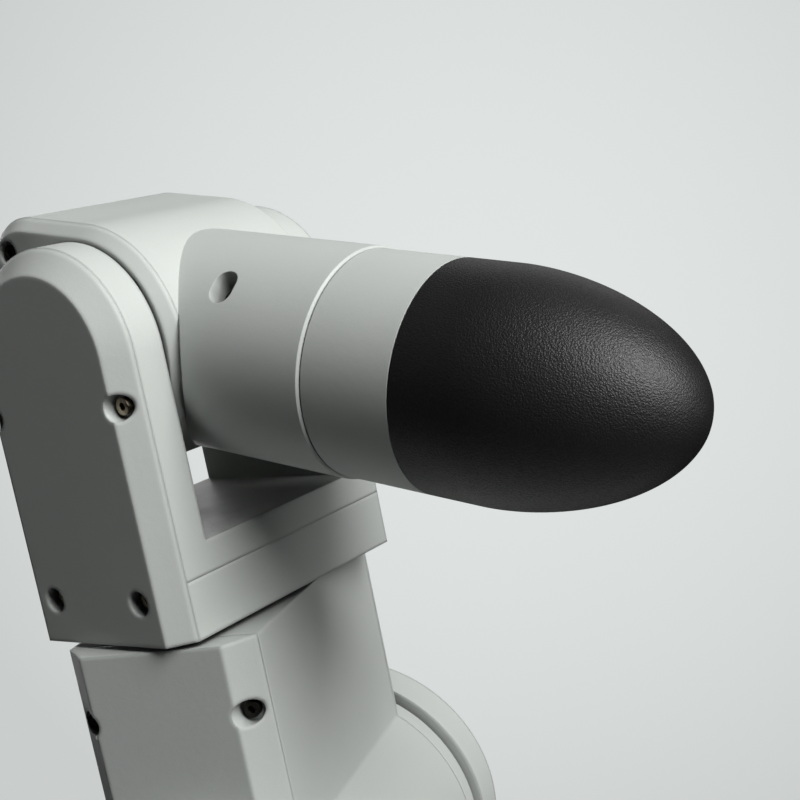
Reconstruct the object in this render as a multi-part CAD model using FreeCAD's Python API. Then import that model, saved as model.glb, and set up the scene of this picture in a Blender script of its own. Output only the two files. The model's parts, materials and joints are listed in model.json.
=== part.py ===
"""Six-axis collaborative robot arm with an egg-shaped tool in an elastomer skin, in millimetres.

Row frame: origin at the centre of the foot's underside, +Z up, the arm's plane is XZ.
Every link is modelled in a frame of its own and placed at the rest pose at the end.
Each fork joint is the same idea at three sizes: two arch-topped arms hold two trunnions,
and the next link's drum turns on them.
"""
import FreeCAD, Part
import math
import os
from collections import namedtuple

os.makedirs("parts", exist_ok=True)
V = FreeCAD.Vector
X_AXIS = V(1, 0, 0)
Y_AXIS = V(0, 1, 0)
Z_AXIS = V(0, 0, 1)

# ---------------------------------------------------------------- rest pose
SHOULDER_HEIGHT = 194.0        # foot underside to the J2 axis
UPPER_ARM_LENGTH = 250.0       # J2 axis to J3 axis
FOREARM_LENGTH = 200.5         # J3 axis to J5 axis
UPPER_ARM_LEAN = 15.0          # degrees forward of vertical
FOREARM_LEAN = -11.6           # degrees, negative leans back
FORK_TURN = -18.8              # degrees about the forearm's axis
TOOL_PITCH = 12.1              # degrees below the fork's square position

# ---------------------------------------------------------------- shared sizes
WALL = 3.0                     # casing wall
SCREW = 3.0                    # M3 low-head cap screws hold the covers
SCREW_CLEARANCE = 1.7          # radius of a clearance hole
SCREW_TAPPED = 1.55            # radius of a tapped hole
COUNTERBORE = 4.1              # radius of the driver's access hole over a cover screw
BASE_SCREW = 5.0               # M5 screws hold the foot plate
HEAD_RADIUS = 0.875            # of a cap screw, as a fraction of its size
HEAD_HEIGHT = 0.72
BOSS = 5.0                     # radius of a screw boss
RUNNING = 0.05                 # radial clearance of a hub in its bearing
BORE_CLEARANCE = 0.6           # radial clearance round a hub where a cover passes it
HUB_GAP = 0.4                  # end gap between a hub and the gear ring behind it

# ---------------------------------------------------------------- fork joints
# arch: radius of the arms; gap: half distance between the arms' inner faces;
# parting: half distance between the side covers' inner faces; outer: half width over the covers;
# chamfer: slope of a cover's edge, seen from the side; floor, seam, foot: depths below the axis;
# web: thickness of the arm wall that carries a trunnion; hub: trunnion radius;
# seat: cover thickness left under a screw head; high_screw, low_screw: x and z of the cover screws.
Fork = namedtuple("Fork", "arch gap parting outer chamfer floor seam foot web hub seat high_screw low_screw")
WRIST_FORK = Fork(34.5, 35.8, 46.9, 54.0, 7.4, 60.3, 70.2, 88.3, 4.0, 20.0, 1.3, (28.0, -15.0), (19.5, -74.5))
ELBOW_FORK = Fork(55.5, 57.6, 73.0, 82.0, 9.0, 60.0, 74.0, 100.0, 4.5, 28.0, 3.0,
                  (47.4, -22.0), (40.5, -86.0))
SHOULDER_FORK = Fork(59.0, 62.4, 79.0, 88.0, 9.0, 68.0, 82.0, 82.0, 5.0, 33.0, 3.0,
                     (50.8, -24.0), (43.0, -73.5))

# ---------------------------------------------------------------- base and turret
FOOT_RADIUS = 100.0
FOOT_THICKNESS = 12.0
FOOT_EDGE = 2.0                # chamfer round the foot plate
FOOT_BOLT_CIRCLE = 92.0        # radius of the four bolt holes' circle
FOOT_BOLT_HOLE = 4.5
BASE_RADIUS = 84.0
BASE_TOP = 90.0
BASE_WALL = 4.0
BASE_EDGE = 5.0                # chamfer round the housing's top
BASE_SCREW_CIRCLE = 74.0
BASE_SCREW_LENGTH = 16.0
J1_BEARING_RADIUS = 60.0
J1_HUB = 50.0
J1_GEAR = (64.0, 42.0)         # outer and inner radius
J1_GEAR_BOTTOM = 60.0
J1_SEAL = (68.0, 62.0)
J1_SEAL_HEIGHT = 1.2
J1_HUB_PASSAGE = 25.0
J1_LID_BOTTOM = 76.0
TURRET_GAP = 1.5
TURRET_FLARE_BOTTOM = 86.0
TURRET_FLARE_TOP = 98.5
TURRET_FLARE_HEIGHT = 12.5
TURRET_FLOOR = 5.5             # thickness of the turret's bottom plate
TURRET_ROOF = 4.0
TURRET_HOLLOW = 78.0
TURRET_PASSAGE = 45.0          # hole up to the fork
CABLE_HOLE = 15.0
PANEL_HALF_WIDTH = 33.0
PANEL_Z = (25.0, 72.0)
PANEL_BACK = -78.0
PANEL_THICKNESS = 2.0
PANEL_PLAY = 0.4
SOCKETS = ((-17.0, 9.0), (6.0, 6.0), (23.0, 6.0))   # y and radius; the first is for power
SOCKET_LIP = (2.0, 4.0)        # how far a socket's lip stands out round it and in front
SOCKET_DEPTH = 12.0

# ---------------------------------------------------------------- upper arm
UPPER_ARM_HALF = (40.0, 61.5)  # half depth and half width
UPPER_ARM_CHAMFER = 8.0
UPPER_ARM_TAPER_END = 122.0
SHOULDER_DRUM = 60.0
J2_BEARING_RADIUS = 40.0
J2_BEARING_Y = (51.5, 60.5)
J2_MOTOR = 38.0
J2_GEAR = (42.0, 30.0)
J2_GEAR_START = 33.0

# ---------------------------------------------------------------- forearm
FOREARM_HALF = (32.5, 56.7)
FOREARM_CHAMFER = 8.2
FOREARM_PARTING = 47.5
FOREARM_SEAT = 1.3             # cover thickness left under a screw head
FOREARM_TOP = 90.0             # below the J5 axis
FOREARM_LID = 14.0
ELBOW_DRUM = 53.2
ELBOW_DRUM_EDGE = 2.5          # chamfer at the drum's ends
FOREARM_HIGH_SCREW = (27.0, -112.5)
FOREARM_LOW_SCREW_CIRCLE = 44.0
J3_BEARING_RADIUS = 34.0
J3_BEARING_INNER_Y = 42.5
J3_MOTOR = 32.0
J3_GEAR = (37.0, 25.0)
J3_GEAR_START = 26.0
J4_BEARING_RADIUS = 27.0
J4_HUB = 21.0
J4_MOTOR = 26.0
J4_BRAKE = 20.0
J4_MOTOR_LENGTH = (24.0, 6.0)  # of the motor and of the brake under it
J4_GEAR = (29.0, 18.0)
J4_GEAR_HEIGHT = 12.0
J4_SEAL = (29.0, 23.0)
J4_SEAL_HEIGHT = 1.3

# ---------------------------------------------------------------- wrist fork
FORK_FLOOR_PLATE = 8.3         # thickness of the fork base's bottom plate

# ---------------------------------------------------------------- wrist body and tool
WRIST_ROUND = 39.5             # front and half height of the wrist body
WRIST_BACK = 46.0
WRIST_CORNER = 20.0
WRIST_PARTING = 31.0
WRIST_PLATE_OUT = 35.0
WRIST_PLATE_CHAMFER = 4.0
WRIST_FLANGE_Y = 25.0          # inner face of the bearing walls
WRIST_REAR_SCREW = (-33.6, 27.9)
WRIST_FRONT_SCREW = (21.0, 21.0)
J5_BEARING_RADIUS = 26.5
J5_MOTOR = 24.0
J5_GEAR_BORE = 16.0
J5_GEAR_START = 13.0
TUBE_RADIUS = 34.7
TUBE_END = 83.9
TUBE_RIM = 0.6                 # chamfer at the tube's end
TUBE_SCREW_X = 49.2
TUBE_SCREW_ANGLES = (46.0, -46.0, 180.0)   # degrees from the top
TUBE_SCREW_SLOT = 1.4          # half the extra length of an access hole, round the tube
TUBE_SEAT = 1.6                # wall left under a tube screw's head
TUBE_MOTOR_BORE = 25.5
TUBE_MOTOR_X = (44.0, 57.2)
TUBE_BORE = 31.0
J6_MOTOR = 22.0
MOTOR_PASSAGE = 7.0            # radius of the cable hole through the small motors
J6_GEAR_BORE = 21.0
J6_GEAR_END = 72.0
J6_HUB = 24.0
COLLAR_RADIUS = 34.0
COLLAR_X = (84.4, 113.9)
FLANGE_X = (92.0, 112.0)
FLANGE_PASSAGE = 10.0
EGG_START = 114.2
EGG_LENGTH = 75.4
EGG_STRAIGHT = 16.6            # length of the cylindrical stretch behind the rounded nose
EGG_POWER = 1.81               # exponent of the superellipse nose
EGG_SKIN = 4.2
TOOL_SCREW_CIRCLE = 27.5
TOOL_SCREW_LENGTH = 28.0


# ================================================================ small helpers
def box(x0, x1, y0, y1, z0, z1):
    return Part.makeBox(x1 - x0, y1 - y0, z1 - z0, V(x0, y0, z0))


def rod(axis, radius, start, end, centre=(0.0, 0.0)):
    """Cylinder along an axis; centre gives the two other coordinates in X, Y, Z order."""
    a, b = centre
    if axis == X_AXIS:
        return Part.makeCylinder(radius, end - start, V(start, a, b), axis)
    if axis == Y_AXIS:
        return Part.makeCylinder(radius, end - start, V(a, start, b), axis)
    return Part.makeCylinder(radius, end - start, V(a, b, start), axis)


def ring(axis, outer, inner, start, end, centre=(0.0, 0.0)):
    return rod(axis, outer, start, end, centre).cut(rod(axis, inner, start - 1, end + 1, centre))


def drum(radius, half_width, edge, z=0.0):
    """Cylinder across the arm with a small chamfer at both ends."""
    middle = rod(Y_AXIS, radius, edge - half_width, half_width - edge, (0, z))
    cone = Part.makeCone(radius, radius - edge, edge, V(0, half_width - edge, z), Y_AXIS)
    return middle.fuse([cone, mirrored(cone)]).removeSplitter()


def mirrored(shape):
    return shape.mirror(V(0, 0, 0), Y_AXIS)


def both_sides(shape):
    """A feature of the right-hand (-Y) side together with its mirror image."""
    return [shape, mirrored(shape)]


def join(first, others):
    return first.fuse(others).removeSplitter()


def chamfered_rectangle(half_x, half_y, chamfer, z):
    cx = half_x - chamfer
    cy = half_y - chamfer
    corners = [V(half_x, -cy, z), V(half_x, cy, z), V(cx, half_y, z), V(-cx, half_y, z),
               V(-half_x, cy, z), V(-half_x, -cy, z), V(-cx, -half_y, z), V(cx, -half_y, z)]
    return Part.makePolygon(corners + corners[:1])


def chamfered_bar(half_x, half_y, chamfer, z0, z1):
    return Part.Face(chamfered_rectangle(half_x, half_y, chamfer, z0)).extrude(V(0, 0, z1 - z0))


def arch_wire(radius, foot, y):
    """Outline of a fork arm: straight sides from the foot and a half circle round the axis."""
    low_back, back = V(-radius, y, -foot), V(-radius, y, 0)
    low_front, front = V(radius, y, -foot), V(radius, y, 0)
    return Part.Wire([
        Part.makeLine(low_back, back),
        Part.Arc(back, V(0, y, radius), front).toShape(),
        Part.makeLine(front, low_front),
        Part.makeLine(low_front, low_back),
    ])


def arch_prism(radius, foot, y0, y1):
    return Part.Face(arch_wire(radius, foot, y0)).extrude(V(0, y1 - y0, 0))


def cap_screw(seat, into, length, size=SCREW):
    """Low-head cap screw with a hexagon socket; seat is the point under its head."""
    height = HEAD_HEIGHT * size
    head = Part.makeCylinder(HEAD_RADIUS * size, height)
    shank = Part.makeCylinder(size / 2, length, V(0, 0, -length))
    corner = 0.45 * size
    corners = [V(corner * math.cos(k * math.pi / 3), corner * math.sin(k * math.pi / 3), 0.35 * height)
               for k in range(7)]
    socket = Part.Face(Part.makePolygon(corners)).extrude(V(0, 0, height))
    screw = head.fuse(shank).cut(socket)
    screw.Placement = FreeCAD.Placement(seat, FreeCAD.Rotation(V(0, 0, -1), into))
    return screw


# ================================================================ fork joints
def fork_screw_places(fork):
    return [(side * x, z) for x, z in (fork.high_screw, fork.low_screw) for side in (-1, 1)]


def fork_yoke(fork):
    """Both arms and the floor between them, open at the sides for the covers."""
    web = fork.gap + fork.web
    yoke = arch_prism(fork.arch, fork.seam, -fork.parting, fork.parting)
    yoke = yoke.cut(box(-fork.arch - 1, fork.arch + 1, -fork.gap, fork.gap, -fork.floor, fork.arch + 1))
    pocket = arch_prism(fork.arch - WALL, fork.floor - WALL, -fork.parting - 1, -web)
    for x, z in fork_screw_places(fork):
        pocket = pocket.cut(rod(Y_AXIS, BOSS, -fork.parting - 1, -web, (x, z)))
    cuts = both_sides(pocket)
    cuts += both_sides(rod(Y_AXIS, fork.hub + RUNNING, -fork.parting, -fork.gap + 1))
    for x, z in fork_screw_places(fork):
        cuts += both_sides(rod(Y_AXIS, SCREW_TAPPED, -fork.parting - 1, -web, (x, z)))
    return yoke.cut(cuts)


def fork_cover(fork):
    """Right-hand side cover: a plate with a wide chamfer, and counterbored screw holes."""
    cover = Part.makeLoft([arch_wire(fork.arch, fork.foot, -fork.parting),
                           arch_wire(fork.arch - fork.chamfer, fork.foot, -fork.outer)], True, True)
    cuts = [arch_prism(fork.hub, fork.floor - WALL, -fork.parting - (fork.outer - fork.parting) / 2,
                       -fork.parting + 1)]
    for place in fork_screw_places(fork):
        cuts.append(rod(Y_AXIS, COUNTERBORE, -fork.outer - 1, -fork.parting - fork.seat, place))
        cuts.append(rod(Y_AXIS, SCREW_CLEARANCE, -fork.outer, -fork.parting + 1, place))
    return cover.cut(cuts)


def fork_cover_screws(fork):
    screws = []
    for x, z in fork_screw_places(fork):
        screw = cap_screw(V(x, -fork.parting - fork.seat, z), Y_AXIS, fork.seat + 5)
        screws += both_sides(screw)
    return screws


def fork_hubs(fork, inner):
    """Two hollow trunnions, bolted in the arms, that reach in to the bearings of the drum."""
    web = fork.gap + fork.web
    hub = rod(Y_AXIS, fork.hub, -web, -inner)
    flange = rod(Y_AXIS, 1.25 * fork.hub, -web - 3.2, -web)
    passage = rod(Y_AXIS, 0.55 * fork.hub, -web - 4, -inner + 1)
    return Part.makeCompound(both_sides(join(hub, [flange]).cut(passage)))


def drum_motor(radius, start, end, z=0.0):
    """Motor can across a drum, with a narrower brake housing at its rear."""
    can = rod(Y_AXIS, radius, start + 10, end, (0, z))
    brake = rod(Y_AXIS, 0.8 * radius, start, start + 10, (0, z))
    return join(can, [brake]).cut(rod(Y_AXIS, 0.3 * radius, start - 1, end + 1, (0, z)))


def bolted_ring(axis, outer, inner, start, end, centre=(0.0, 0.0)):
    """Gear ring with eight bolt holes through it."""
    body = ring(axis, outer, inner, start, end, centre)
    middle = (outer + inner) / 2
    holes = []
    for k in range(8):
        a = centre[0] + middle * math.cos(k * math.pi / 4)
        b = centre[1] + middle * math.sin(k * math.pi / 4)
        holes.append(rod(axis, min(1.6, (outer - inner) / 5), start - 1, end + 1, (a, b)))
    return body.cut(holes)


# ================================================================ base, in the row frame
def base_screw_places():
    angles = [math.radians(30 + 60 * k) for k in range(6)]
    return [(BASE_SCREW_CIRCLE * math.cos(a), BASE_SCREW_CIRCLE * math.sin(a)) for a in angles]


def base_plate():
    flat = FOOT_THICKNESS - FOOT_EDGE
    plate = join(rod(Z_AXIS, FOOT_RADIUS, 0, flat),
                 [Part.makeCone(FOOT_RADIUS, FOOT_RADIUS - FOOT_EDGE, FOOT_EDGE, V(0, 0, flat))])
    cuts = [rod(Z_AXIS, CABLE_HOLE, -1, FOOT_THICKNESS + 1)]
    for k in range(4):
        angle = math.radians(45 + 90 * k)
        place = (FOOT_BOLT_CIRCLE * math.cos(angle), FOOT_BOLT_CIRCLE * math.sin(angle))
        cuts.append(rod(Z_AXIS, FOOT_BOLT_HOLE, -1, FOOT_THICKNESS + 1, place))
    for place in base_screw_places():
        cuts.append(rod(Z_AXIS, BASE_SCREW, -1, FOOT_THICKNESS / 2, place))
        cuts.append(rod(Z_AXIS, 0.55 * BASE_SCREW, 0, FOOT_THICKNESS + 1, place))
    return plate.cut(cuts)


def socket_places():
    """y, z and radius of the power socket and the two signal sockets."""
    middle = sum(PANEL_Z) / 2
    return [(y, middle, radius) for y, radius in SOCKETS]


def base_housing():
    shoulder = BASE_TOP - BASE_EDGE
    shell = join(rod(Z_AXIS, BASE_RADIUS, FOOT_THICKNESS, shoulder),
                 [Part.makeCone(BASE_RADIUS, BASE_RADIUS - BASE_EDGE, BASE_EDGE, V(0, 0, shoulder))])
    inside = rod(Z_AXIS, BASE_RADIUS - BASE_WALL, FOOT_THICKNESS - 1, J1_LID_BOTTOM)
    inside = inside.cut(box(-BASE_RADIUS, PANEL_BACK + 8, -PANEL_HALF_WIDTH - 5, PANEL_HALF_WIDTH + 5,
                            FOOT_THICKNESS - 1, J1_LID_BOTTOM))
    for place in base_screw_places():
        inside = inside.cut(rod(Z_AXIS, BOSS + 1.2, FOOT_THICKNESS - 1, 3 * FOOT_THICKNESS, place))
    cuts = [inside, rod(Z_AXIS, J1_BEARING_RADIUS, J1_LID_BOTTOM - 1, BASE_TOP + 1)]
    cuts.append(box(-BASE_RADIUS - 1, PANEL_BACK, -PANEL_HALF_WIDTH, PANEL_HALF_WIDTH, *PANEL_Z))
    cuts += [rod(Z_AXIS, BASE_SCREW / 2 + 0.05, 0, 2.5 * FOOT_THICKNESS, place)
             for place in base_screw_places()]
    cuts += [rod(X_AXIS, radius, PANEL_BACK - 1, -60, (y, z)) for y, z, radius in socket_places()]
    return shell.cut(cuts)


def connector_panel():
    half_width = PANEL_HALF_WIDTH - PANEL_PLAY
    panel = box(PANEL_BACK - PANEL_THICKNESS, PANEL_BACK, -half_width, half_width,
                PANEL_Z[0] + PANEL_PLAY, PANEL_Z[1] - PANEL_PLAY)
    return panel.cut([rod(X_AXIS, radius, PANEL_BACK - 5, PANEL_BACK + 5, (y, z))
                      for y, z, radius in socket_places()])


def panel_socket(y, z, radius):
    """Round panel socket with an open mouth and a contact block inside it."""
    front = PANEL_BACK - PANEL_THICKNESS
    lip_width, lip_length = SOCKET_LIP
    body = rod(X_AXIS, radius, front, PANEL_BACK + SOCKET_DEPTH, (y, z))
    lip = rod(X_AXIS, radius + lip_width, front - lip_length, front, (y, z))
    mouth = ring(X_AXIS, 0.8 * radius, 0.5 * radius, front - lip_length - 1, front + SOCKET_DEPTH / 2, (y, z))
    return join(body, [lip]).cut(mouth)


def make_base(parts):
    parts["base_plate"] = base_plate()
    parts["base_housing"] = base_housing()
    parts["connector_panel"] = connector_panel()
    power, *signals = socket_places()
    parts["power_socket"] = panel_socket(*power)
    parts["signal_sockets"] = Part.makeCompound([panel_socket(*place) for place in signals])
    screws = [cap_screw(V(x, y, FOOT_THICKNESS / 2), Z_AXIS, BASE_SCREW_LENGTH, BASE_SCREW)
              for x, y in base_screw_places()]
    parts["base_screws"] = Part.makeCompound(screws)
    motor = join(rod(Z_AXIS, J1_HUB, FOOT_THICKNESS, J1_GEAR_BOTTOM - 6),
                 [rod(Z_AXIS, 0.9 * J1_HUB, J1_GEAR_BOTTOM - 6, J1_GEAR_BOTTOM)])
    parts["j1_motor"] = motor.cut(rod(Z_AXIS, CABLE_HOLE, 0, J1_GEAR_BOTTOM + 1))
    parts["j1_gear_ring"] = bolted_ring(Z_AXIS, *J1_GEAR, J1_GEAR_BOTTOM, J1_LID_BOTTOM)
    parts["j1_bearing"] = ring(Z_AXIS, J1_BEARING_RADIUS, J1_HUB + RUNNING, J1_LID_BOTTOM, BASE_TOP - 2)
    parts["j1_seal"] = ring(Z_AXIS, *J1_SEAL, BASE_TOP, BASE_TOP + J1_SEAL_HEIGHT)


# ================================================================ turret, origin on the J2 axis
def make_turret(parts):
    bottom = BASE_TOP + TURRET_GAP - SHOULDER_HEIGHT
    floor = bottom + TURRET_FLOOR
    seam = -SHOULDER_FORK.seam
    body = join(Part.makeCone(TURRET_FLARE_BOTTOM, TURRET_FLARE_TOP, TURRET_FLARE_HEIGHT, V(0, 0, bottom)),
                [rod(Z_AXIS, TURRET_FLARE_TOP, bottom + TURRET_FLARE_HEIGHT, seam)])
    parts["turret_base"] = body.cut([rod(Z_AXIS, TURRET_HOLLOW, floor, seam - TURRET_ROOF),
                                     rod(Z_AXIS, TURRET_PASSAGE, seam - TURRET_ROOF - 1, seam + 1),
                                     rod(Z_AXIS, J1_HUB + RUNNING, bottom - 1, floor + 1)])
    parts["turret_yoke"] = fork_yoke(SHOULDER_FORK)
    cover = fork_cover(SHOULDER_FORK)
    parts["turret_cover_right"] = cover
    parts["turret_cover_left"] = mirrored(cover)
    parts["turret_screws"] = Part.makeCompound(fork_cover_screws(SHOULDER_FORK))
    lid = J1_LID_BOTTOM - SHOULDER_HEIGHT
    hub = join(rod(Z_AXIS, J1_HUB, lid + HUB_GAP, floor), [rod(Z_AXIS, J1_HUB + 10, floor, floor + 4)])
    parts["j1_output_hub"] = hub.cut(rod(Z_AXIS, J1_HUB_PASSAGE, lid, seam))
    parts["j2_hubs"] = fork_hubs(SHOULDER_FORK, J2_BEARING_Y[0] + HUB_GAP)


# ================================================================ upper arm, origin on the J3 axis
def upper_arm_housing():
    half_x, half_y = UPPER_ARM_HALF
    fork = ELBOW_FORK
    end = -UPPER_ARM_LENGTH
    head = box(-fork.arch, fork.arch, -fork.parting, fork.parting, -fork.foot, -fork.seam)
    taper = Part.makeLoft([chamfered_rectangle(fork.arch, fork.outer, fork.chamfer, -fork.foot),
                           chamfered_rectangle(half_x, half_y, UPPER_ARM_CHAMFER, -UPPER_ARM_TAPER_END)],
                          True, True)
    bar = chamfered_bar(half_x, half_y, UPPER_ARM_CHAMFER, end, -UPPER_ARM_TAPER_END)
    body = join(head, [taper, bar, drum(SHOULDER_DRUM, half_y, 1.0, end)])
    inner_y = J2_BEARING_Y[0]
    cuts = [
        box(-fork.arch + 4, fork.arch - 4, -fork.parting + 9, fork.parting - 9, -fork.foot, -fork.seam - 6),
        box(-half_x + 4, half_x - 4, -inner_y, inner_y, end, -fork.foot + 1),
        rod(Y_AXIS, SHOULDER_DRUM - 4, -inner_y, inner_y, (0, end)),
        rod(Y_AXIS, J2_BEARING_RADIUS, -half_y - 1, half_y + 1, (0, end)),
    ]
    for side in (-1, 1):
        place = (side * fork.low_screw[0], fork.low_screw[1])
        cuts += both_sides(rod(Y_AXIS, SCREW_TAPPED, -fork.parting - 1, -fork.parting + 7, place))
    return body.cut(cuts)


def make_upper_arm(parts):
    end = -UPPER_ARM_LENGTH
    inner_y, outer_y = J2_BEARING_Y
    parts["upper_arm_housing"] = upper_arm_housing()
    parts["upper_arm_yoke"] = fork_yoke(ELBOW_FORK)
    cover = fork_cover(ELBOW_FORK)
    parts["upper_arm_cover_right"] = cover
    parts["upper_arm_cover_left"] = mirrored(cover)
    parts["upper_arm_screws"] = Part.makeCompound(fork_cover_screws(ELBOW_FORK))
    parts["j2_motor"] = drum_motor(J2_MOTOR, -inner_y + 10, J2_GEAR_START, end)
    parts["j2_gear_ring"] = bolted_ring(Y_AXIS, *J2_GEAR, J2_GEAR_START, inner_y, (0, end))
    bearing = ring(Y_AXIS, J2_BEARING_RADIUS, SHOULDER_FORK.hub + RUNNING, -outer_y, -inner_y, (0, end))
    parts["j2_bearings"] = Part.makeCompound(both_sides(bearing))
    parts["j3_hubs"] = fork_hubs(ELBOW_FORK, J3_BEARING_INNER_Y + HUB_GAP)


# ================================================================ forearm, origin on the J5 axis
def forearm_outside():
    half_x, half_y = FOREARM_HALF
    bar = chamfered_bar(half_x, half_y, FOREARM_CHAMFER, -FOREARM_LENGTH, -FOREARM_TOP)
    return join(bar, [drum(ELBOW_DRUM, half_y, ELBOW_DRUM_EDGE, -FOREARM_LENGTH)])


def forearm_low_screw_places():
    angles = [math.radians(45 + 90 * k) for k in range(4)]
    return [(FOREARM_LOW_SCREW_CIRCLE * math.cos(a), FOREARM_LOW_SCREW_CIRCLE * math.sin(a) - FOREARM_LENGTH)
            for a in angles]


def forearm_high_screw_places():
    x, z = FOREARM_HIGH_SCREW
    return [(-x, z), (x, z)]


def forearm_housing():
    half_x = FOREARM_HALF[0]
    end = -FOREARM_LENGTH
    lid_bottom = -FOREARM_TOP - FOREARM_LID
    span = ELBOW_DRUM - end
    body = forearm_outside().common(box(-span, span, -FOREARM_PARTING, FOREARM_PARTING, -span, 0))
    open_part = box(-half_x + WALL, half_x - WALL, -FOREARM_PARTING - 1, FOREARM_PARTING + 1,
                    end + ELBOW_DRUM, lid_bottom)
    for place in forearm_high_screw_places():
        for y0 in (-FOREARM_PARTING - 2, FOREARM_PARTING - 8):
            open_part = open_part.cut(rod(Y_AXIS, BOSS, y0, y0 + 10, place))
    inner = J3_BEARING_INNER_Y
    cuts = [
        open_part,
        box(-half_x + WALL, half_x - WALL, -inner, inner, end, end + ELBOW_DRUM + 1),
        rod(Y_AXIS, ELBOW_DRUM - 3.5, -inner, inner, (0, end)),
        rod(Y_AXIS, J3_BEARING_RADIUS, -FOREARM_PARTING - 1, FOREARM_PARTING + 1, (0, end)),
        rod(Z_AXIS, J4_BEARING_RADIUS, lid_bottom - 1, -FOREARM_TOP + 1),
    ]
    for place in forearm_high_screw_places() + forearm_low_screw_places():
        cuts += both_sides(rod(Y_AXIS, SCREW_TAPPED, -FOREARM_PARTING - 1, -FOREARM_PARTING + 5.5, place))
    return body.cut(cuts)


def forearm_cover():
    half_y = FOREARM_HALF[1]
    span = ELBOW_DRUM + FOREARM_LENGTH
    cover = forearm_outside().common(box(-span, span, -half_y - 1, -FOREARM_PARTING, -span, 0))
    cuts = [rod(Y_AXIS, ELBOW_FORK.hub + BORE_CLEARANCE, -half_y - 1, -FOREARM_PARTING + 1,
                (0, -FOREARM_LENGTH))]
    for place in forearm_high_screw_places() + forearm_low_screw_places():
        cuts.append(rod(Y_AXIS, COUNTERBORE, -half_y - 1, -FOREARM_PARTING - FOREARM_SEAT, place))
        cuts.append(rod(Y_AXIS, SCREW_CLEARANCE, -half_y, -FOREARM_PARTING + 1, place))
    return cover.cut(cuts)


def make_forearm(parts):
    end = -FOREARM_LENGTH
    lid_bottom = -FOREARM_TOP - FOREARM_LID
    parts["forearm_housing"] = forearm_housing()
    cover = forearm_cover()
    parts["forearm_cover_right"] = cover
    parts["forearm_cover_left"] = mirrored(cover)
    screws = []
    for x, z in forearm_high_screw_places() + forearm_low_screw_places():
        screws += both_sides(cap_screw(V(x, -FOREARM_PARTING - FOREARM_SEAT, z), Y_AXIS, FOREARM_SEAT + 4))
    parts["forearm_screws"] = Part.makeCompound(screws)
    inner = J3_BEARING_INNER_Y
    parts["j3_motor"] = drum_motor(J3_MOTOR, -inner + 8, J3_GEAR_START, end)
    parts["j3_gear_ring"] = bolted_ring(Y_AXIS, *J3_GEAR, J3_GEAR_START, inner, (0, end))
    bearing = ring(Y_AXIS, J3_BEARING_RADIUS, ELBOW_FORK.hub + RUNNING, -FOREARM_PARTING, -inner, (0, end))
    parts["j3_bearings"] = Part.makeCompound(both_sides(bearing))
    parts["j4_bearing"] = ring(Z_AXIS, J4_BEARING_RADIUS, J4_HUB + RUNNING, lid_bottom, -FOREARM_TOP - 2)
    motor_top = lid_bottom - J4_GEAR_HEIGHT
    parts["j4_gear_ring"] = bolted_ring(Z_AXIS, *J4_GEAR, motor_top, lid_bottom)
    motor_length, brake_length = J4_MOTOR_LENGTH
    brake_top = motor_top - motor_length
    motor = join(rod(Z_AXIS, J4_MOTOR, brake_top, motor_top),
                 [rod(Z_AXIS, J4_BRAKE, brake_top - brake_length, brake_top)])
    parts["j4_motor"] = motor.cut(rod(Z_AXIS, MOTOR_PASSAGE, brake_top - brake_length - 1, motor_top + 1))
    parts["j4_seal"] = ring(Z_AXIS, *J4_SEAL, -FOREARM_TOP, -FOREARM_TOP + J4_SEAL_HEIGHT)


# ================================================================ wrist fork, origin on the J5 axis
def fork_base():
    fork = WRIST_FORK
    plate_top = -fork.foot + FORK_FLOOR_PLATE
    body = box(-fork.arch, fork.arch, -fork.parting, fork.parting, -fork.foot, -fork.seam)
    hollow = box(-fork.arch + WALL, fork.arch - WALL, -fork.parting + 8, fork.parting - 8,
                 plate_top, -fork.seam + 1)
    cuts = [hollow, rod(Z_AXIS, J4_HUB + RUNNING, -fork.foot - 1, plate_top + 1)]
    for side in (-1, 1):
        place = (side * fork.low_screw[0], fork.low_screw[1])
        cuts += both_sides(rod(Y_AXIS, SCREW_TAPPED, -fork.parting - 1, -fork.parting + 6, place))
    return body.cut(cuts)


def make_fork(parts):
    fork = WRIST_FORK
    plate_top = -fork.foot + FORK_FLOOR_PLATE
    parts["fork_base"] = fork_base()
    parts["fork_yoke"] = fork_yoke(fork)
    cover = fork_cover(fork)
    parts["fork_cover_right"] = cover
    parts["fork_cover_left"] = mirrored(cover)
    parts["fork_screws"] = Part.makeCompound(fork_cover_screws(fork))
    gear_top = -FOREARM_TOP - FOREARM_LID
    hub = join(rod(Z_AXIS, J4_HUB, gear_top + HUB_GAP, plate_top),
               [rod(Z_AXIS, J4_HUB + 7, plate_top, plate_top + 4)])
    parts["j4_output_hub"] = hub.cut(rod(Z_AXIS, J4_HUB / 2, gear_top, plate_top + 5))
    parts["j5_hubs"] = fork_hubs(fork, WRIST_FLANGE_Y + HUB_GAP)


# ================================================================ wrist body, origin on the J5 axis
def wrist_wire(inset, y):
    """Side outline: round in front, flat above and below, with rounded corners at the back."""
    radius = WRIST_ROUND - inset
    back = -WRIST_BACK + inset
    corner = WRIST_CORNER - inset
    bend = back + corner
    straight = radius - corner
    slant = corner * math.sqrt(0.5)
    low, high = V(0, y, -radius), V(0, y, radius)
    top_back, back_high = V(bend, y, radius), V(back, y, straight)
    back_low, low_back = V(back, y, -straight), V(bend, y, -radius)
    return Part.Wire([
        Part.Arc(low, V(radius, y, 0), high).toShape(),
        Part.makeLine(high, top_back),
        Part.Arc(top_back, V(bend - slant, y, straight + slant), back_high).toShape(),
        Part.makeLine(back_high, back_low),
        Part.Arc(back_low, V(bend - slant, y, -straight - slant), low_back).toShape(),
        Part.makeLine(low_back, low),
    ])


def wrist_prism(inset, y0, y1):
    return Part.Face(wrist_wire(inset, y0)).extrude(V(0, y1 - y0, 0))


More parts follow.
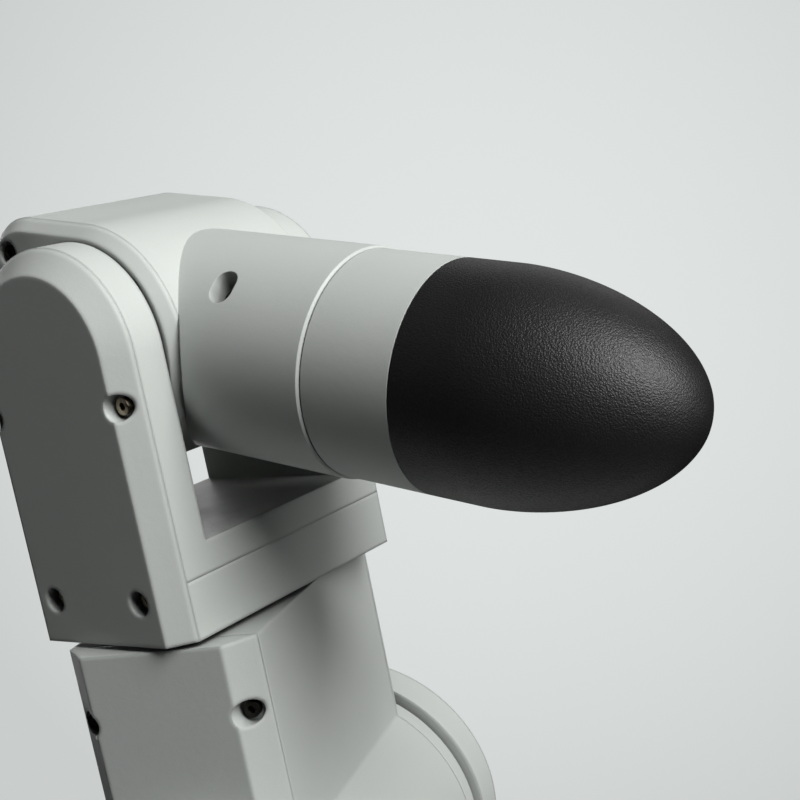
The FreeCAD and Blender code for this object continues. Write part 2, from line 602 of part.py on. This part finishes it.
def wrist_screw_places():
    return [(x, side * z) for x, z in (WRIST_REAR_SCREW, WRIST_FRONT_SCREW) for side in (-1, 1)]


def tube_screw_directions():
    """Unit vectors from the tube's axis out to its three radial screws."""
    return [V(0, math.sin(math.radians(a)), math.cos(math.radians(a))) for a in TUBE_SCREW_ANGLES]


def tube_access_hole(angle):
    """Oval hole over a tube screw's head, longer round the tube than along it."""
    slot = TUBE_SCREW_SLOT
    seat = TUBE_MOTOR_BORE + TUBE_SEAT
    ends = [Part.makeCylinder(COUNTERBORE, TUBE_RADIUS, V(0, y, seat)) for y in (-slot, slot)]
    hole = join(ends[0], [ends[1], box(-COUNTERBORE, COUNTERBORE, -slot, slot, seat, seat + TUBE_RADIUS)])
    hole.Placement = FreeCAD.Placement(V(TUBE_SCREW_X, 0, 0), FreeCAD.Rotation(X_AXIS, -angle))
    return hole


def wrist_housing():
    tube = join(rod(X_AXIS, TUBE_RADIUS, 0, TUBE_END - TUBE_RIM),
                [Part.makeCone(TUBE_RADIUS, TUBE_RADIUS - TUBE_RIM, TUBE_RIM,
                               V(TUBE_END - TUBE_RIM, 0, 0), X_AXIS)])
    tube = tube.cut(both_sides(rod(Y_AXIS, WRIST_ROUND + 0.3, -TUBE_RADIUS - 1, -WRIST_PARTING)))
    body = join(wrist_prism(0, -WRIST_PARTING, WRIST_PARTING), [tube])
    cuts = [
        wrist_prism(WALL, -WRIST_FLANGE_Y, WRIST_FLANGE_Y),
        rod(Y_AXIS, J5_BEARING_RADIUS, -WRIST_PARTING - 1, WRIST_PARTING + 1),
        rod(X_AXIS, WRIST_FLANGE_Y - 0.5, 20, TUBE_MOTOR_X[0] + 1),
        rod(X_AXIS, TUBE_MOTOR_BORE, TUBE_MOTOR_X[0], TUBE_MOTOR_X[1]),
        rod(X_AXIS, TUBE_BORE, TUBE_MOTOR_X[1], TUBE_END + 1),
    ]
    for place in wrist_screw_places():
        cuts += both_sides(rod(Y_AXIS, SCREW_TAPPED, -WRIST_PARTING - 1, -WRIST_FLANGE_Y + 0.5, place))
    cuts += [tube_access_hole(angle) for angle in TUBE_SCREW_ANGLES]
    for out in tube_screw_directions():
        start = V(TUBE_SCREW_X, 0, 0) + out * (TUBE_MOTOR_BORE - 1)
        cuts.append(Part.makeCylinder(SCREW_CLEARANCE, TUBE_RADIUS, start, out))
    return body.cut(cuts)


def wrist_plate():
    """Right-hand side plate with a chamfered edge, round the trunnion."""
    plate = Part.makeLoft([wrist_wire(0, -WRIST_PARTING),
                           wrist_wire(WRIST_PLATE_CHAMFER, -WRIST_PLATE_OUT)], True, True)
    cuts = [rod(Y_AXIS, WRIST_FORK.hub + BORE_CLEARANCE, -WRIST_PLATE_OUT - 1, -WRIST_PARTING + 1)]
    for place in wrist_screw_places():
        cuts.append(rod(Y_AXIS, COUNTERBORE, -WRIST_PLATE_OUT - 1, -WRIST_PARTING - 1, place))
        cuts.append(rod(Y_AXIS, SCREW_CLEARANCE, -WRIST_PLATE_OUT, -WRIST_PARTING + 1, place))
    return plate.cut(cuts)


def wrist_screws():
    """Plate screws go in from the sides; the tube screws run in to the motor's flange."""
    screws = []
    for x, z in wrist_screw_places():
        screws += both_sides(cap_screw(V(x, -WRIST_PARTING - 1, z), Y_AXIS, 6))
    for out in tube_screw_directions():
        seat = V(TUBE_SCREW_X, 0, 0) + out * (TUBE_MOTOR_BORE + TUBE_SEAT)
        screws.append(cap_screw(seat, out * -1, 6))
    return screws


def j6_motor():
    start, end = TUBE_MOTOR_X
    flange = rod(X_AXIS, TUBE_MOTOR_BORE, start, end)
    can = rod(X_AXIS, J6_MOTOR, start - 14, start)
    cuts = [rod(X_AXIS, MOTOR_PASSAGE, start - 15, end + 1)]
    for out in tube_screw_directions():
        bottom = V(TUBE_SCREW_X, 0, 0) + out * (TUBE_MOTOR_BORE - 5)
        cuts.append(Part.makeCylinder(SCREW_TAPPED, 6, bottom, out))
    return join(flange, [can]).cut(cuts)


def make_wrist(parts):
    parts["wrist_housing"] = wrist_housing()
    plate = wrist_plate()
    parts["wrist_plate_right"] = plate
    parts["wrist_plate_left"] = mirrored(plate)
    parts["wrist_screws"] = Part.makeCompound(wrist_screws())
    parts["j5_motor"] = drum_motor(J5_MOTOR, -WRIST_FLANGE_Y + 5, J5_GEAR_START)
    parts["j5_gear_ring"] = bolted_ring(Y_AXIS, J5_BEARING_RADIUS, J5_GEAR_BORE,
                                        J5_GEAR_START, WRIST_FLANGE_Y)
    bearing = ring(Y_AXIS, J5_BEARING_RADIUS, WRIST_FORK.hub + RUNNING, -WRIST_PARTING, -WRIST_FLANGE_Y)
    parts["j5_bearings"] = Part.makeCompound(both_sides(bearing))
    parts["j6_motor"] = j6_motor()
    parts["j6_gear_ring"] = bolted_ring(X_AXIS, TUBE_BORE, J6_GEAR_BORE, TUBE_MOTOR_X[1], J6_GEAR_END)
    parts["j6_bearing"] = ring(X_AXIS, TUBE_BORE, J6_HUB + RUNNING, J6_GEAR_END, TUBE_END - 1)


# ================================================================ tool, origin on the J5 axis
def egg_solid(inset, start):
    """Cylinder that closes in a superellipse nose, turned about the tool's axis."""
    radius = COLLAR_RADIUS - inset
    bend = EGG_START + EGG_STRAIGHT
    nose = EGG_LENGTH - EGG_STRAIGHT - inset
    steps = 14
    points = []
    for k in range(steps + 1):
        angle = 0.5 * math.pi * k / steps
        points.append(V(bend + nose * math.sin(angle) ** (2 / EGG_POWER), 0, radius * math.cos(angle)))
    curve = Part.BSplineCurve()
    curve.interpolate(points, InitialTangent=V(1, 0, 0), FinalTangent=V(0, 0, -1))
    outline = Part.Wire([
        Part.makeLine(V(start, 0, 0), V(start, 0, radius)),
        Part.makeLine(V(start, 0, radius), points[0]),
        curve.toShape(),
        Part.makeLine(points[-1], V(start, 0, 0)),
    ])
    return Part.Face(outline).revolve(V(0, 0, 0), X_AXIS, 360)


def tool_screw_places():
    return [(TOOL_SCREW_CIRCLE * math.cos(a), TOOL_SCREW_CIRCLE * math.sin(a))
            for a in (math.radians(45 + 90 * k) for k in range(4))]


def make_tool(parts):
    flange_start, flange_end = FLANGE_X
    bore = COLLAR_RADIUS - WALL
    parts["tool_collar"] = ring(X_AXIS, COLLAR_RADIUS, bore, *COLLAR_X)
    flange = join(rod(X_AXIS, J6_HUB, J6_GEAR_END + HUB_GAP, flange_start),
                  [rod(X_AXIS, bore, flange_start, flange_end)])
    holes = [rod(X_AXIS, SCREW_CLEARANCE, flange_start - 1, flange_end + 1, place)
             for place in tool_screw_places()]
    parts["tool_flange"] = flange.cut(holes + [rod(X_AXIS, FLANGE_PASSAGE, J6_GEAR_END, flange_end + 1)])
    core = join(egg_solid(EGG_SKIN, EGG_START), [rod(X_AXIS, bore - 1, flange_end, EGG_START)])
    tapped = [rod(X_AXIS, SCREW_TAPPED, flange_end - 1, flange_end + 9, place)
              for place in tool_screw_places()]
    parts["egg_core"] = core.cut(tapped)
    parts["egg_cover"] = egg_solid(0, EGG_START).cut(egg_solid(EGG_SKIN, EGG_START - 1))
    parts["tool_screws"] = Part.makeCompound([cap_screw(V(flange_start, y, z), X_AXIS, TOOL_SCREW_LENGTH)
                                              for y, z in tool_screw_places()])


# ================================================================ rest pose and export
def placement(origin, axis=Z_AXIS, angle=0.0):
    return FreeCAD.Placement(origin, FreeCAD.Rotation(axis, angle))


def link_frames():
    """Each link's placement in the row frame at the rest pose."""
    turret = placement(V(0, 0, SHOULDER_HEIGHT))
    upper_arm = turret.multiply(placement(V(0, 0, 0), Y_AXIS, UPPER_ARM_LEAN))
    upper_arm = upper_arm.multiply(placement(V(0, 0, UPPER_ARM_LENGTH)))
    elbow = upper_arm.multiply(placement(V(0, 0, 0), Y_AXIS, FOREARM_LEAN - UPPER_ARM_LEAN))
    forearm = elbow.multiply(placement(V(0, 0, FOREARM_LENGTH)))
    fork = forearm.multiply(placement(V(0, 0, 0), Z_AXIS, FORK_TURN))
    wrist = fork.multiply(placement(V(0, 0, 0), Y_AXIS, TOOL_PITCH))
    return [(placement(V(0, 0, 0)), make_base), (turret, make_turret), (upper_arm, make_upper_arm),
            (forearm, make_forearm), (fork, make_fork), (wrist, make_wrist), (wrist, make_tool)]


for frame, make_link in link_frames():
    link_parts = {}
    make_link(link_parts)
    for name, shape in link_parts.items():
        placed = shape.copy()
        placed.Placement = frame.multiply(placed.Placement)
        placed.exportStep(os.path.join("parts", name + ".step"))
        print(name, len(placed.Solids), placed.isValid(), round(placed.Volume / 1000, 1))
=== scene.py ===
import json
import math

import bmesh
import bpy
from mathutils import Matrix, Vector

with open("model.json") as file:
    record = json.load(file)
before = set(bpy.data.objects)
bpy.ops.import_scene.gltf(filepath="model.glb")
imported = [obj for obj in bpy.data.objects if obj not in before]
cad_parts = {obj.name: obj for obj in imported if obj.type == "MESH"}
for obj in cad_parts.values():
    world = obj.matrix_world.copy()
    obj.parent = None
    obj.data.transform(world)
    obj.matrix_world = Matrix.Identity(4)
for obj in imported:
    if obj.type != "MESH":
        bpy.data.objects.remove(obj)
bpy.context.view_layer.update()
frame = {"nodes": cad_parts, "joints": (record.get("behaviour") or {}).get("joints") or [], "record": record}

NODES = frame["nodes"]
JOINTS = {joint["name"]: joint for joint in frame["joints"]}
WRIST = Vector(JOINTS["j5_wrist_pitch"]["pos_m"])
ARM_MIDDLE = Vector((0.0, 0.0, 0.33))

# lengths are in metres, and texture scales are features per metre
RAY_SAMPLES = 6
EDGE_BEND = (0.03, 0.35)          # 1 - cosine of the bend where an edge starts and is full
PAINT_TINT = (0.953, 1.0, 0.957)
PAINT_EDGE = 0.0019
CRISP_PAINT_EDGE = 0.00035
GAP_WIDTH = 0.05
GAP_OPENNESS = (0.12, 0.52)       # openness at which the painted shade is full, and gone
METAL_EDGE = 0.00025
METAL_MARK_DEPTH = 0.00003
MOULDED_EDGE = 0.0005
MOULDED_GRAIN_DEPTH = 0.00006
DUST = 0.3
PEBBLE_DRIFT = 0.0005
PEBBLE_DEPTH = 0.00015
SMALL_PEBBLE_DEPTH = 0.00006
PEBBLE_SMOOTHNESS = 0.3

# fitted to the outlines in the photo
CAMERA_LENS_MM = 63.43
CAMERA_SENSOR_MM = 36.0
CAMERA_FROM_WRIST = Vector((0.2100, -0.4127, 0.0783))
CAMERA_DOWN_DEGREES = 12.575
CAMERA_TURN_DEGREES = 17.52

BACKDROP_TINT = (0.977, 1.017, 1.006)
BACKDROP_CENTRE = Vector((-0.2429, 0.9576, -0.1551))
BACKDROP_REACH = 0.0833           # 1 - cosine from the centre to the darkest tone
BACKDROP_TONES = (0.60, 0.765)
AMBIENT_TINT = (0.97, 1.0, 1.0)
AMBIENT_STRENGTH = 0.010
FLOOR_RADIUS = 0.82
FLOOR_SEGMENTS = 96
FLOOR_BELOW_FOOT = 0.0004
FLOOR_FADE = (0.30, 0.80)
FLOOR_SEEN = (0.70, 0.74)
FLOOR_BOUNCED = 0.38


# ---------------------------------------------------------------- colours
def grey(value, tint=(1.0, 1.0, 1.0)):
    return scaled(tint, value)


def scaled(colour, factor):
    """The colour times the factor, with full alpha."""
    return (*(factor * channel for channel in colour), 1.0)


# ---------------------------------------------------------------- node helpers
class Graph:
    """The node tree of a material or world, with short ways to add and link nodes."""

    def __init__(self, owner):
        owner.use_nodes = True
        self.nodes = owner.node_tree.nodes
        self.links = owner.node_tree.links
        self.nodes.clear()

    def feed(self, socket, value):
        """Link another node's output to the socket, or write a plain value into it."""
        if isinstance(value, bpy.types.NodeSocket):
            self.links.new(value, socket)
        else:
            socket.default_value = value

    def add(self, kind, inputs=None, **settings):
        node = self.nodes.new("ShaderNode" + kind)
        for name, value in settings.items():
            setattr(node, name, value)
        for socket, value in (inputs or {}).items():
            self.feed(node.inputs[socket], value)
        return node

    def math(self, operation, first, second):
        return self.add("Math", {0: first, 1: second}, operation=operation).outputs["Value"]

    def vector_math(self, operation, *vectors):
        return self.add("VectorMath", dict(enumerate(vectors)), operation=operation).outputs

    def span(self, value, source, target=(0.0, 1.0), interpolation="LINEAR"):
        """The value, stretched from the source range to the target range."""
        limits = {"From Min": source[0], "From Max": source[1], "To Min": target[0], "To Max": target[1]}
        node = self.add("MapRange", {**limits, "Value": value}, interpolation_type=interpolation)
        return node.outputs["Result"]

    def mix(self, factor, first, second):
        inputs = {"Factor": factor, "A": first, "B": second}
        return self.add("Mix", inputs, data_type="RGBA").outputs["Result"]


class Surface(Graph):
    """A material with one Principled shader."""

    def __init__(self, name):
        self.material = bpy.data.materials.new(name)
        super().__init__(self.material)
        self.shader = self.add("BsdfPrincipled")
        self.add("OutputMaterial", {"Surface": self.shader.outputs["BSDF"]})
        self.place = self.add("TexCoord").outputs["Object"]

    def shade(self, **inputs):
        """Set or link the shader's own sockets. An underscore stands for a space."""
        for name, value in inputs.items():
            self.feed(self.shader.inputs[name.replace("_", " ")], value)

    def noise(self, scale, detail=3.0, roughness=0.5, distortion=0.0, vector=None, output="Fac"):
        inputs = {"Vector": vector or self.place, "Scale": scale, "Detail": detail,
                  "Roughness": roughness, "Distortion": distortion}
        return self.add("TexNoise", inputs).outputs[output]

    def cells(self, scale, vector):
        inputs = {"Vector": vector, "Scale": scale, "Smoothness": PEBBLE_SMOOTHNESS}
        return self.add("TexVoronoi", inputs, feature="SMOOTH_F1").outputs["Distance"]

    def rounded(self, radius):
        """Normal that turns smoothly over edges, as on a rounded edge of that radius."""
        return self.add("Bevel", {"Radius": radius}, samples=RAY_SAMPLES).outputs["Normal"]

    def edges(self, rounded):
        """1 along edges and in creases, 0 on flat stretches."""
        flat = self.add("NewGeometry").outputs["Normal"]
        agreement = self.vector_math("DOT_PRODUCT", rounded, flat)["Value"]
        return self.span(self.math("SUBTRACT", 1.0, agreement), EDGE_BEND)

    def openness(self, distance):
        """1 in the open, less in gaps and holes narrower than the distance."""
        return self.add("AmbientOcclusion", {"Distance": distance}, samples=RAY_SAMPLES).outputs["AO"]

    def bump(self, height, distance, strength, under=None):
        inputs = {"Height": height, "Distance": distance, "Strength": strength}
        if under is not None:
            inputs["Normal"] = under
        return self.add("Bump", inputs).outputs["Normal"]


# ---------------------------------------------------------------- materials
def casing_paint(name, edge_radius, dirt_and_shade):
    """Satin powder paint: faint clouds and specks, orange peel, worn edges, and painted shade that darkens
    gaps and hollows.
    """
    surface = Surface(name)
    rounded = surface.rounded(edge_radius)
    clouds = surface.span(surface.noise(14.0, 5.0), (0.3, 0.7))
    colour = surface.mix(clouds, grey(0.515, PAINT_TINT), grey(0.55, PAINT_TINT))
    specks = surface.span(surface.noise(1700.0, 2.0), (0.58, 0.72), (0.0, 0.35))
    colour = surface.mix(specks, colour, grey(0.47, PAINT_TINT))
    patches = surface.span(surface.noise(90.0, 6.0, 0.7), (0.4, 0.62), (0.0, 0.25))
    worn = surface.math("MULTIPLY", surface.edges(rounded), patches)
    colour = surface.mix(worn, colour, grey(0.61, PAINT_TINT))
    # painted shade: the colour darkens towards near black where ambient occlusion finds gaps and hollows
    grime_and_shade = surface.span(surface.openness(GAP_WIDTH), GAP_OPENNESS, (dirt_and_shade, 0.0))
    colour = surface.mix(grime_and_shade, colour, grey(0.09, PAINT_TINT))
    satin = surface.span(surface.noise(60.0, 4.0), (0.3, 0.7), (0.46, 0.56))
    polish = surface.math("MULTIPLY", worn, 0.12)
    peel = surface.bump(surface.noise(420.0, 2.0), 0.00012, 0.3, rounded)
    fine_peel = surface.bump(surface.noise(1900.0, 3.0), 0.00005, 0.5, peel)
    surface.shade(Base_Color=colour, Roughness=surface.math("SUBTRACT", satin, polish),
                  Specular_IOR_Level=0.42, Normal=fine_peel)
    return surface.material


def grained_elastomer(name):
    """Black moulded elastomer with a fine pebbled leather grain."""
    surface = Surface(name)
    drift = surface.noise(1100.0, 2.0, output="Color")
    bent = surface.vector_math("MULTIPLY_ADD", drift, (PEBBLE_DRIFT,) * 3, surface.place)["Vector"]
    pebbles = surface.cells(1950.0, bent)
    small_pebbles = surface.cells(4100.0, bent)
    creases = surface.span(pebbles, (0.25, 0.75))
    colour = surface.mix(creases, grey(0.0115), grey(0.0075))
    patches = surface.span(surface.noise(35.0, 4.0), (0.35, 0.7), (0.0, 0.5))
    colour = surface.mix(patches, colour, grey(0.014))
    satin = surface.span(surface.noise(22.0, 3.0), (0.3, 0.7), (0.36, 0.42))
    dull = surface.math("MULTIPLY", creases, 0.12)
    coarse = surface.bump(surface.math("SUBTRACT", 1.0, pebbles), PEBBLE_DEPTH, 0.75)
    fine = surface.bump(surface.math("SUBTRACT", 1.0, small_pebbles), SMALL_PEBBLE_DEPTH, 0.6, coarse)
    surface.shade(Base_Color=colour, Roughness=surface.math("ADD", satin, dull),
                  Specular_IOR_Level=0.44, Normal=fine)
    return surface.material


def metal(name, colour, roughness, scratches, stretch, dirt_and_shade):
    """Bare metal with machining marks, rounded edges and a little grime in its corners."""
    surface = Surface(name)
    rounded = surface.rounded(METAL_EDGE)
    stretched = surface.add("Mapping", {"Vector": surface.place, "Scale": stretch}).outputs["Vector"]
    marks = surface.noise(scratches, 5.0, 0.6, 0.2, stretched)
    base = surface.mix(surface.span(marks, (0.3, 0.7)), scaled(colour, 0.72), scaled(colour, 1.0))
    patches = surface.span(surface.noise(700.0, 4.0), (0.35, 0.65), (0.0, dirt_and_shade))
    grime_and_shade = surface.math("MULTIPLY", surface.edges(rounded), patches)
    surface.shade(Base_Color=surface.mix(grime_and_shade, base, scaled(colour, 0.3)),
                  Roughness=surface.span(marks, (0.25, 0.75), (roughness - 0.08, roughness + 0.1)),
                  Metallic=1.0, Normal=surface.bump(marks, METAL_MARK_DEPTH, 0.6, rounded))
    return surface.material


def moulded(name, colour, roughness, grain):
    """Moulded plastic or rubber with a fine spark-eroded grain and dust in its creases."""
    surface = Surface(name)
    rounded = surface.rounded(MOULDED_EDGE)
    grains = surface.noise(grain, 3.0, 0.6)
    base = surface.mix(surface.span(grains, (0.35, 0.65)), scaled(colour, 1.0), scaled(colour, 1.35))
    patches = surface.span(surface.noise(160.0, 5.0), (0.4, 0.7), (0.0, DUST))
    dusty = surface.math("MULTIPLY", surface.edges(rounded), patches)
    satin = surface.span(surface.noise(120.0, 3.0), (0.3, 0.7), (roughness - 0.06, roughness + 0.08))
    surface.shade(Base_Color=surface.mix(dusty, base, grey(0.2)), Roughness=satin,
                  Normal=surface.bump(grains, MOULDED_GRAIN_DEPTH, 0.5, rounded))
    return surface.material


EVEN = (1.0, 1.0, 1.0)
FINISHES = (
    # maker, name, and what the maker takes after the name
    # the last number of a casing paint sets how dark its painted shade in gaps gets
    (casing_paint, "casing_paint", PAINT_EDGE, 0.9),
    (casing_paint, "casing_paint_crisp", CRISP_PAINT_EDGE, 0.45),
    (grained_elastomer, "grained_elastomer"),
    (metal, "screw_steel", (0.33, 0.28, 0.21), 0.3, 900.0, EVEN, 0.85),
    # near-black steel: painted shade for screws that sit in deep, shaded holes
    (metal, "screw_steel_blackened", (0.035, 0.032, 0.028), 0.48, 900.0, EVEN, 0.85),
    (metal, "motor_aluminium", (0.50, 0.51, 0.53), 0.42, 300.0, (1.0, 12.0, 1.0), 0.5),
    (metal, "bearing_steel", (0.56, 0.57, 0.60), 0.24, 500.0, (1.0, 10.0, 1.0), 0.5),
    (metal, "machined_aluminium", (0.68, 0.69, 0.71), 0.32, 420.0, (1.0, 14.0, 1.0), 0.5),
    (metal, "panel_metal", (0.16, 0.165, 0.17), 0.45, 240.0, (1.0, 1.0, 10.0), 0.5),
    (moulded, "seal_rubber", (0.018, 0.018, 0.018), 0.62, 1200.0),
    (moulded, "socket_plastic", (0.028, 0.028, 0.031), 0.48, 1600.0),
    (moulded, "core_plastic", (0.13, 0.13, 0.13), 0.5, 900.0),
)
LOOKS = {name: maker(name, *values) for maker, name, *values in FINISHES}

# nodes with a finish of their own: the wrist body and the collar are turned parts with crisp
# edges, and the screws deep in access holes get near-black steel as painted shade
NODE_FINISHES = {
    "wrist_housing": "casing_paint_crisp",
    "tool_collar": "casing_paint_crisp",
    "wrist_screws": "screw_steel_blackened",
    "forearm_screws": "screw_steel_blackened",
}

for part in frame["record"]["subparts"]:
    materials = NODES[part["node"]].data.materials
    materials.clear()
    materials.append(LOOKS[NODE_FINISHES.get(part["node"], part["material_slot"])])


# ---------------------------------------------------------------- camera and studio
def link_object(name, data):
    thing = bpy.data.objects.new(name, data)
    bpy.context.scene.collection.objects.link(thing)
    return thing


def camera():
    data = bpy.data.cameras.new("camera")
    data.lens = CAMERA_LENS_MM
    data.sensor_width = CAMERA_SENSOR_MM
    view = link_object("camera", data)
    view.location = WRIST + CAMERA_FROM_WRIST
    view.rotation_euler = (math.radians(90 - CAMERA_DOWN_DEGREES), 0.0, math.radians(CAMERA_TURN_DEGREES))
    bpy.context.scene.camera = view


def studio_world():
    """Backdrop that is brightest in one direction, and a dim even light from all round."""
    world = bpy.data.worlds.new("studio")
    bpy.context.scene.world = world
    graph = Graph(world)
    direction = graph.add("TexCoord").outputs["Generated"]
    nearness = graph.vector_math("DOT_PRODUCT", direction, BACKDROP_CENTRE)["Value"]
    tone = graph.span(nearness, (1.0 - BACKDROP_REACH, 1.0), BACKDROP_TONES)
    seen = graph.add("Background", {"Color": (*BACKDROP_TINT, 1.0), "Strength": tone})
    around = graph.add("Background", {"Color": (*AMBIENT_TINT, 1.0), "Strength": AMBIENT_STRENGTH})
    rays = graph.add("LightPath").outputs["Is Camera Ray"]
    shaders = {"Fac": rays, 1: around.outputs["Background"], 2: seen.outputs["Background"]}
    graph.add("OutputWorld", {"Surface": graph.add("MixShader", shaders).outputs["Shader"]})


def area_light(name, direction, distance, diameter, watts, target):
    data = bpy.data.lights.new(name, "AREA")
    data.shape = "DISK"
    data.size = diameter
    data.energy = watts
    lamp = link_object(name, data)
    out = Vector(direction).normalized()
    lamp.location = target + out * distance
    lamp.rotation_euler = out.to_track_quat("Z", "Y").to_euler()


LIGHTS = (
    # name, direction from the target, distance, diameter, watts, target
    ("key", (0.585, -0.325, 0.742), 1.8, 1.2, 43.0, WRIST),
    ("side", (0.893, -0.157, 0.423), 1.8, 1.2, 9.5, WRIST),
    ("behind", (-0.05, 0.88, 0.46), 1.8, 1.3, 2.2, WRIST),
    ("fill", (-0.75, 0.60, 0.25), 1.8, 1.4, 1.0, WRIST),
    ("back", (-0.66, 0.75, -0.03), 1.6, 1.2, 16.0, ARM_MIDDLE),
)


def studio_floor():
    """Pale matt disc that fades out into the backdrop, and bounces less light than it shows."""
    surface = Surface("studio_floor")
    marks = surface.noise(6.0, 5.0)
    shown = surface.mix(surface.span(marks, (0.3, 0.7)), grey(FLOOR_SEEN[0]), grey(FLOOR_SEEN[1]))
    rays = surface.add("LightPath").outputs["Is Camera Ray"]
    from_centre = surface.vector_math("LENGTH", surface.place)["Value"]
    surface.shade(Base_Color=surface.mix(rays, grey(FLOOR_BOUNCED), shown),
                  Roughness=surface.span(marks, (0.3, 0.7), (0.7, 0.8)),
                  Alpha=surface.span(from_centre, FLOOR_FADE, (1.0, 0.0), "SMOOTHSTEP"))
    mesh = bpy.data.meshes.new("studio_floor")
    shape = bmesh.new()
    bmesh.ops.create_circle(shape, cap_ends=True, radius=FLOOR_RADIUS, segments=FLOOR_SEGMENTS)
    shape.to_mesh(mesh)
    shape.free()
    mesh.materials.append(surface.material)
    floor = link_object("studio_floor", mesh)
    floor.location = (0.0, 0.0, -FLOOR_BELOW_FOOT)


camera()
studio_world()
for light in LIGHTS:
    area_light(*light)
studio_floor()
bpy.context.scene.view_settings.view_transform = "Standard"
